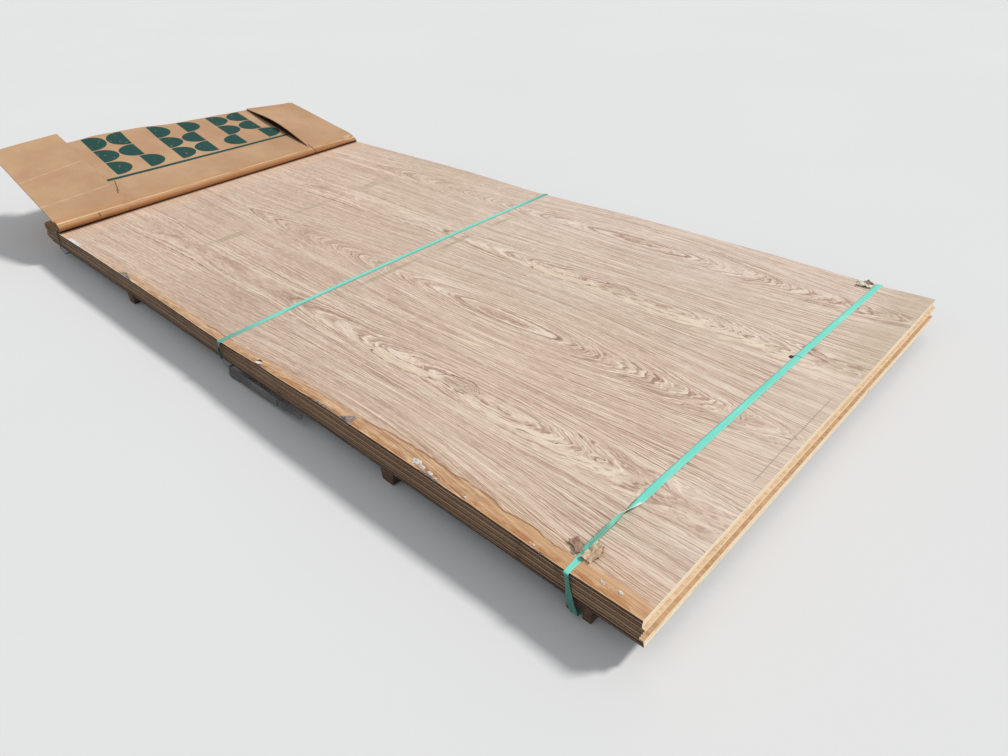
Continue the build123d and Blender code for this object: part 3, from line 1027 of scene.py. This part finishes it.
def build_cover(materials):
    """The folded cover: one long corrugated panel and the two flaps that are turned in over it. Its
    stored values are the creases and a painted shadow on the panel, by how deep it lies in the gap under the
    right flap."""
    shell = Shell()
    arc = steps(TUCK_LENGTH, ARC_END, 22)
    stations_s = steps(0, TUCK_LENGTH * 0.9, 5) + arc + steps(PANEL_START, PANEL_END, 70)
    wide = HALF_WIDTH - COVER_INSET
    stations_y = steps(-wide, CRUSHED_Y, 96) + steps(CRUSHED_Y + 0.005, wide, 48)
    board(shell, panel_places, stations_s, stations_y, [-wide, *steps(-0.56, 0.56, 20), wide])
    # Painted shadow: how deep the panel lies in the shaded gap under the right flap
    painted_flap_shadow = [
        smooth(0.378, 0.400, y) * smooth(0.47, 0.43, y) * smooth(0.20, 0.26, s) for s, y, height in shell.flat
    ]
    for flap in FLAPS:
        flap_y = sorted(steps(flap[1], flap[0], 36))
        board(shell, flap_places(*flap), steps(FOLD_END, FOLD_END + FLAP_RUN, 90), flap_y, flap_y[::4])
    painted_flap_shadow += [0.0] * (len(shell.flat) - len(painted_flap_shadow))
    creases = [crease_depth(s, y) for s, y, height in shell.flat]
    values = {"crease": creases, "painted_flap_shadow": painted_flap_shadow}
    shell.piece("cover_board", materials, "cardboard_cover", values)


def ribbon(shell, path, narrow):
    """A flat band along a path of (point, tangent, outward, roll). The function narrow gives the share of
    its width that it keeps at a point."""
    grids = ([], [])
    run = 0.0
    last = path[0][0]
    for point, tangent, outward, roll in path:
        run += (point - last).length
        last = point
        normal = Matrix.Rotation(roll, 3, tangent) @ outward
        side = tangent.cross(normal).normalized()
        width = STRAP_WIDTH * narrow(point)
        middle = point + outward * (abs(sin(roll)) * width / 2)
        for grid, facing, height in zip(grids, (1, -1), (1.0, 0.0)):
            row = []
            for share in (-0.5, -0.42, -0.14, 0.14, 0.42, 0.5):
                crown = STRAP_THICKNESS * (0.5 if abs(share) < 0.45 else 0.32)
                place = middle + side * (share * width) + normal * (crown * facing)
                row.append((place, (run, share * width, height)))
            grid.append(row)
    shell.slab(*grids)


def strap_corners(node, seat):
    """The corners of a strap's middle line, read from its solid: from the middle of its lower run up the
    far side, over the top, down the near side and back."""
    points = [vertex.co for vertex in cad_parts[node].data.vertices]
    low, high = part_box(node)
    half = STRAP_THICKNESS / 2

    def along(chosen):
        places = [point.x for point in points if chosen(point)]
        return (min(places) + max(places)) / 2

    near_x = along(lambda point: point.y < low.y + SIDE_REACH and point.z > seat - TOP_REACH)
    far_x = along(lambda point: point.y > high.y - SIDE_REACH and point.z > seat - TOP_REACH)
    knee_x = along(lambda point: point.y < low.y + SIDE_REACH and abs(point.z - LINER_TOP) < KNEE_REACH)
    foot_x = along(lambda point: point.z < low.z + FOOT_REACH)
    near, far = low.y + half, high.y - half
    lower = [point.y for point in points if point.z < low.z + SOLE_REACH]
    turn_near = min(lower) if min(lower) > low.y + 0.005 else near
    turn_far = max(lower) if max(lower) < high.y - 0.005 else far
    foot = low.z + half
    top = seat + half + 0.0001
    kinks = [point for point in points if point.z > seat - TOP_REACH and low.y + 0.01 < point.y < -0.4]
    kink_x = sum(point.x for point in kinks) / len(kinks) if kinks else near_x
    kink_y = kinks[0].y if kinks else near + 0.02
    ways = (
        (foot_x, 0.0, foot), (foot_x, turn_far, foot), (knee_x, far, LINER_TOP), (far_x, far, top),
        (kink_x, kink_y, top), (near_x, near, top), (knee_x, near, LINER_TOP), (foot_x, turn_near, foot),
        (foot_x, 0.0, foot),
    )
    return [Vector(way) for way in ways]


def bent_line(corners):
    """Points along a way through corners that are rounded off, with a number of steps for each run."""
    line = []
    bends = len(STRAP_STEPS) - 1
    for index, count in enumerate(STRAP_STEPS):
        start, end = corners[index], corners[index + 1]
        way = (end - start).normalized() * STRAP_BEND
        first = start + way if index else start
        last = end - way if index < bends else end
        line += [first.lerp(last, share) for share in steps(0, 1, count)]
        if index < bends:
            ahead = end + (corners[index + 2] - end).normalized() * STRAP_BEND
            turn = steps(0, 1, 6)[1:-1]
            line += [last.lerp(end, share).lerp(end.lerp(ahead, share), share) for share in turn]
    return line


def strap_path(node, seat, roll, lift):
    """One strap's way round the pile, as points with the tangent, outward way and roll. The straps that
    lie on the top sheet follow its rise and fall."""
    places = bent_line(strap_corners(node, seat))
    if seat == STACK_TOP:
        for point in places:
            height = min(max((point.z - LINER_TOP) / (seat - LINER_TOP), 0.0), 1.0)
            point.z += (sheet_rise(point.x, point.y) + lift(point.y)) * height
    path = []
    held = 0.0
    for before, point, after in zip(places[:1] + places, places, places[1:] + places[-1:]):
        tangent = (after - before).normalized()
        outward = Vector((0, tangent.z, -tangent.y))
        outward = (outward - tangent * outward.dot(tangent)).normalized()
        held = roll(point, outward, held)
        path.append((point, tangent, outward, held))
    return path


def near_roll(point, outward, held):
    """The near strap turns over on the way to the near edge and runs on with its other face outward."""
    if outward.z < 0.9:
        return held
    return radians(96 * smooth(-0.400, -0.490, point.y) + 84 * smooth(-0.535, -0.580, point.y))


def near_lift(y):
    """The near strap stands a little off the top sheet along its middle."""
    return 0.0012 * smooth(-0.42, -0.36, y) * smooth(0.50, 0.42, y)


def near_narrow(point):
    """The near strap is folded narrower where it turns down over the near edge."""
    folded = 0.16 * smooth(-0.47, -0.54, point.y) + 0.20 * smooth(-0.565, -0.600, point.y)
    return 1 - folded * smooth(0.040, 0.075, point.z)


def middle_roll(point, outward, held):
    """The middle strap twists towards its edge as it runs down the near side."""
    if outward.y > -0.5:
        return 0.0
    return radians(60) * (smooth(0.096, 0.070, point.z) - smooth(0.052, 0.036, point.z))


def middle_narrow(point):
    """The middle strap is folded to a thin taper on the near side."""
    return 1 - 0.62 * smooth(0.100, 0.060, point.z) if point.y <= -0.60 else 1.0


def cover_narrow(point):
    """The strap on the cover is narrower on the near side."""
    return 0.6 if point.y < -0.60 else 1.0


def build_straps(material):
    """The three straps. The near one carries its doubled, welded ends on the top."""
    straps = (
        ("near_end", STACK_TOP, near_roll, near_lift, near_narrow),
        ("middle", STACK_TOP, middle_roll, lambda y: 0.0, middle_narrow),
        ("cover_end", STACK_TOP + BOARD, lambda *place: 0.0, lambda y: 0.0, cover_narrow),
    )
    for name, seat, roll, lift, narrow in straps:
        shell = Shell()
        path = strap_path(f"strap_{name}", seat, roll, lift)
        ribbon(shell, path, narrow)
        if name == "near_end":
            doubled = Vector((0, 0, STRAP_THICKNESS * 1.02))
            weld = [(p + doubled, t, o, r) for p, t, o, r in path if WELD_START < p.y < WELD_END and o.z > 0.9]
            ribbon(shell, weld, lambda point: 1.0)
        shell.piece(f"band_{name}", [material], f"strap_{name}")


def build_liner(materials):
    """The grey board under the sheets, and the torn strip of it that hangs down at the near side."""
    under = LINER_TOP - LINER_THICKNESS

    def lying(x, share):
        ragged = 1 - (0.0015 + 0.0015 * wobble(x * 11, share)) / HALF_WIDTH
        y = share * (HALF_WIDTH - 0.006) * ragged
        sag = 0.0006 * max(0, wobble(x * 4, y * 3, 5.0)) * smooth(0.5, 0.6, abs(y))
        return both(x, y, LINER_TOP - 0.0001, under - sag, (x, y))

    def hanging(x, drop):
        share = (x - STRIP_START) / (STRIP_END - STRIP_START)
        foot = 0.0035 + 0.008 * smooth(0.0, 0.6, share) + 0.014 * smooth(0.62, 1.0, share)
        foot += 0.0016 * wobble(x * 60, 1.0) + 0.0022 * max(0.0, wobble(x * 18, 7.0))
        foot += sum(deep * max(0.0, 1 - abs(x - place) / TEAR_HALF) for place, deep in STRIP_TEARS)
        z = under + (max(foot, 0.003) - under) * drop
        y = -HALF_WIDTH - 0.0006 - (0.0050 + 0.0010 * wobble(x * 20, drop * 2, 3.0)) * drop
        return ((x, y + 0.0007, z), (x, z, 0.0)), ((x, y - 0.0009, z), (x, z, 1.0))

    shell = Shell()
    stations_x = steps(-HALF_LENGTH + 0.002, HALF_LENGTH - 0.002, 120)
    shell.slab(*twin_grids(stations_x, unequal(10, 0.8), lying))
    shell.slab(*twin_grids(steps(STRIP_START, STRIP_END, 110), steps(0, 1, 9), hanging))
    shell.piece("liner_board", materials, "base_liner")


def build_scrap(name, middle, size, turn, seed, height, folds, material):
    """A crushed scrap: a small sheet thrown into sharp random folds, by the near strap at a long edge."""

    def twin(a, b):
        ragged = 1 + 0.30 * wobble(a * 3, b * 3, seed) + 0.12 * wobble(a * 11, b * 11, seed)
        local = Vector((a * size[0] * ragged, b * size[1] * ragged, 0))
        spot = Matrix.Rotation(turn, 3, "Z") @ local + Vector((*middle, 0))
        ridges = abs(wobble(a * folds, b * folds, seed + 3)) * 1.5
        ridges += abs(wobble(a * folds * 2.3, b * folds * 2.3, seed + 7)) * 0.35
        low = on_top(spot.x, spot.y) + 0.0016 + height * (0.15 + min(1.0, ridges)) * (1 - 0.4 * hypot(a, b))
        return both(spot.x, spot.y, low + 0.0006, low, (a, b))

    shell = Shell()
    stations = steps(-0.5, 0.5, 26)
    shell.slab(*twin_grids(stations, stations, twin))
    shell.piece(f"scrap_{name}", [material])


def flake(shell, centre, size, turn, seed, lift, points=18, curl=0.0):
    """A thin irregular flake lying on the top sheet."""

    def twin(angle, share):
        ragged = 1 + 0.45 * wobble(cos(angle) * 2.4, sin(angle) * 2.4, seed)
        local = Vector((cos(angle) * size[0] / 2, sin(angle) * size[1] / 2, 0)) * share * ragged
        spot = Matrix.Rotation(turn, 3, "Z") @ local + Vector((*centre, 0))
        spot.y = max(spot.y, -HALF_WIDTH + 0.001)
        ground = on_top(spot.x, spot.y) + 0.0001
        bump = lift * (1.2 - share) * (1 + 0.8 * wobble(spot.x * 160, spot.y * 160, seed))
        bump += curl * share ** 3 * max(0.0, sin(angle))
        return both(spot.x, spot.y, ground + max(bump, 0.0) + 0.0003, ground, local.xy)

    angles = steps(0, 2 * pi, points)[:-1]
    shell.slab(*twin_grids(angles, steps(0.02, 1, 4), twin), ring=True)


def build_label(material):
    """The blank, torn white paper label at the near long edge, next to the cover."""

    def twin(x, step):
        share = (x - LABEL_START) / LABEL_LENGTH
        reach = 0.0115 - 0.003 * share + 0.0015 * wobble(x * 90, 2.0)
        y = -HALF_WIDTH + 0.0015 + reach * step
        low = on_top(x, y) + 0.0002 + 0.0016 * step ** 2 * (1 + wobble(x * 50, step))
        return both(x, y, low + 0.00025, low, (x, y))

    shell = Shell()
    shell.slab(*twin_grids(steps(LABEL_START, LABEL_START + LABEL_LENGTH, 24), steps(0, 1, 6), twin))
    shell.piece("paper_label", [material])


def build_residue(material):
    """Dried white splashes and crumbs along the near long edge."""
    shell = Shell()
    dice = random.Random(12)
    for seed, (x, y, wide, deep) in enumerate(SPLASHES):
        flake(shell, (x, y), (wide, deep), dice.uniform(-0.4, 0.4), seed * 3.7, 0.0009)
        for crumb in range(3):
            spot = (x + dice.uniform(-0.012, 0.012), y + dice.uniform(-0.003, 0.006))
            size = dice.uniform(0.0012, 0.003)
            flake(shell, spot, (size, size * 0.7), dice.uniform(0, 3), seed + crumb * 9.1, 0.0006, 8)
    shell.piece("dried_residue", [material])


def build_chip(material):
    """The small black bit that lies half under the near strap."""
    shell = Shell()
    flake(shell, CHIP_PLACE, CHIP_SIZE, 0.4, 31.0, 0.0008, 12, 0.0008)
    shell.piece("black_chip", [material])


def build_splinter(material):
    """The pale splinter of face veneer that stands up at the notch by the middle strap."""

    def twin(share, side):
        x = SPLINTER_X + SPLINTER_LENGTH * share
        y = -HALF_WIDTH + 0.002 + 0.007 * share
        low = on_top(x, y) + 0.0002 + 0.004 * (1 - share)
        wide = side * (0.0012 + 0.003 * sin(pi * share))
        return both(x - wide * 0.4, y + wide, low + 0.0006, low, (x, y))

    shell = Shell()
    upper, lower = twin_grids(steps(0, 1, 8), (-1, 0, 1), twin)
    shell.slab(lower, upper)
    shell.piece("veneer_splinter", [material])


def dress_bearers(material):
    """The runners keep their solid shape, with worn edges and a rough wood finish."""
    for name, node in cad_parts.items():
        if name.startswith("bearer"):
            node.data.materials.clear()
            node.data.materials.append(material)
            worn = node.modifiers.new("worn_edges", "BEVEL")
            worn.width = 0.0025
            worn.segments = 2
            worn.limit_method = "ANGLE"
            worn.angle_limit = radians(50)


def build_floor(material):
    mesh = bpy.data.meshes.new("floor")
    corners = [(x * FLOOR_REACH, y * FLOOR_REACH, 0) for x, y in ((-1, -1), (1, -1), (1, 1), (-1, 1))]
    mesh.from_pydata(corners, [], [(0, 1, 2, 3)])
    mesh.materials.append(material)
    floor = bpy.data.objects.new("floor", mesh)
    bpy.context.scene.collection.objects.link(floor)


def build_lights():
    """A broad soft key from the right and behind, and an even pale world that fills the shade. The world
    is plain white to the camera and in mirrors."""
    world = bpy.data.worlds.new("studio")
    tree = Tree(world)
    rays = tree.node("ShaderNodeLightPath").outputs
    seen = tree.math("MAXIMUM", rays["Is Camera Ray"], rays["Is Glossy Ray"])
    seen = seen.at_least(rays["Is Transmission Ray"])
    fill = tree.node("ShaderNodeBackground", {0: (0.94, 0.97, 1.0, 1.0), 1: 0.46})
    white = tree.node("ShaderNodeBackground", {0: (0.8, 0.8, 0.8, 1.0), 1: 1.0})
    mixed = tree.node("ShaderNodeMixShader", {0: seen, 1: fill.outputs[0], 2: white.outputs[0]})
    tree.node("ShaderNodeOutputWorld", {0: mixed.outputs[0]})
    bpy.context.scene.world = world
    key = bpy.data.lights.new("key", "SUN")
    key.energy = 2.5
    key.color = (1.0, 0.97, 0.93)
    key.angle = radians(9)
    lamp = bpy.data.objects.new("key", key)
    lamp.rotation_mode = "QUATERNION"
    lamp.rotation_quaternion = SUN_FROM.to_track_quat("Z", "Y")
    bpy.context.scene.collection.objects.link(lamp)


def build_camera():
    data = bpy.data.cameras.new("camera")
    data.lens = CAMERA_LENS
    data.sensor_width = 36.0
    data.clip_end = 200.0
    camera = bpy.data.objects.new("camera", data)
    level = CAMERA_FORWARD.normalized().to_track_quat("-Z", "Y").to_matrix()
    turned = level @ Matrix.Rotation(CAMERA_ROLL, 3, "Z")
    camera.matrix_world = Matrix.Translation(CAMERA_PLACE) @ turned.to_4x4()
    bpy.context.scene.collection.objects.link(camera)
    bpy.context.scene.camera = camera


def main():
    build_camera()
    build_lights()
    build_floor(floor_paint())
    build_sheets([veneer_face(), veneer_hidden(), ply_edge(), torn_core()])
    build_cover([cover_face(), cover_inside()])
    build_straps(strap_band())
    build_liner([grey_board()])
    dress_bearers(bearer_wood())
    brown = mottled("scrap_brown", (144, 114, 98), (184, 152, 132), 40)
    tan = mottled("scrap_tan", (176, 146, 120), (222, 198, 170), 40)
    white = mottled("scrap_white", (196, 188, 172), (240, 236, 226), 60)
    for scrap, paper in zip(SCRAPS, (brown, tan, brown, white)):
        build_scrap(*scrap, paper)
    build_label(mottled("label_paper", (222, 220, 216), (244, 243, 240), 40))
    build_residue(mottled("dried_white", (176, 168, 158), (232, 228, 222), 220))
    build_chip(mottled("black_plastic", (22, 22, 24), (44, 42, 42), 120, 0.5))
    build_splinter(mottled("pale_splinter", (204, 190, 174), (236, 226, 212), 200))
    bpy.context.scene.view_settings.view_transform = "Standard"
    bpy.context.view_layer.update()


main()
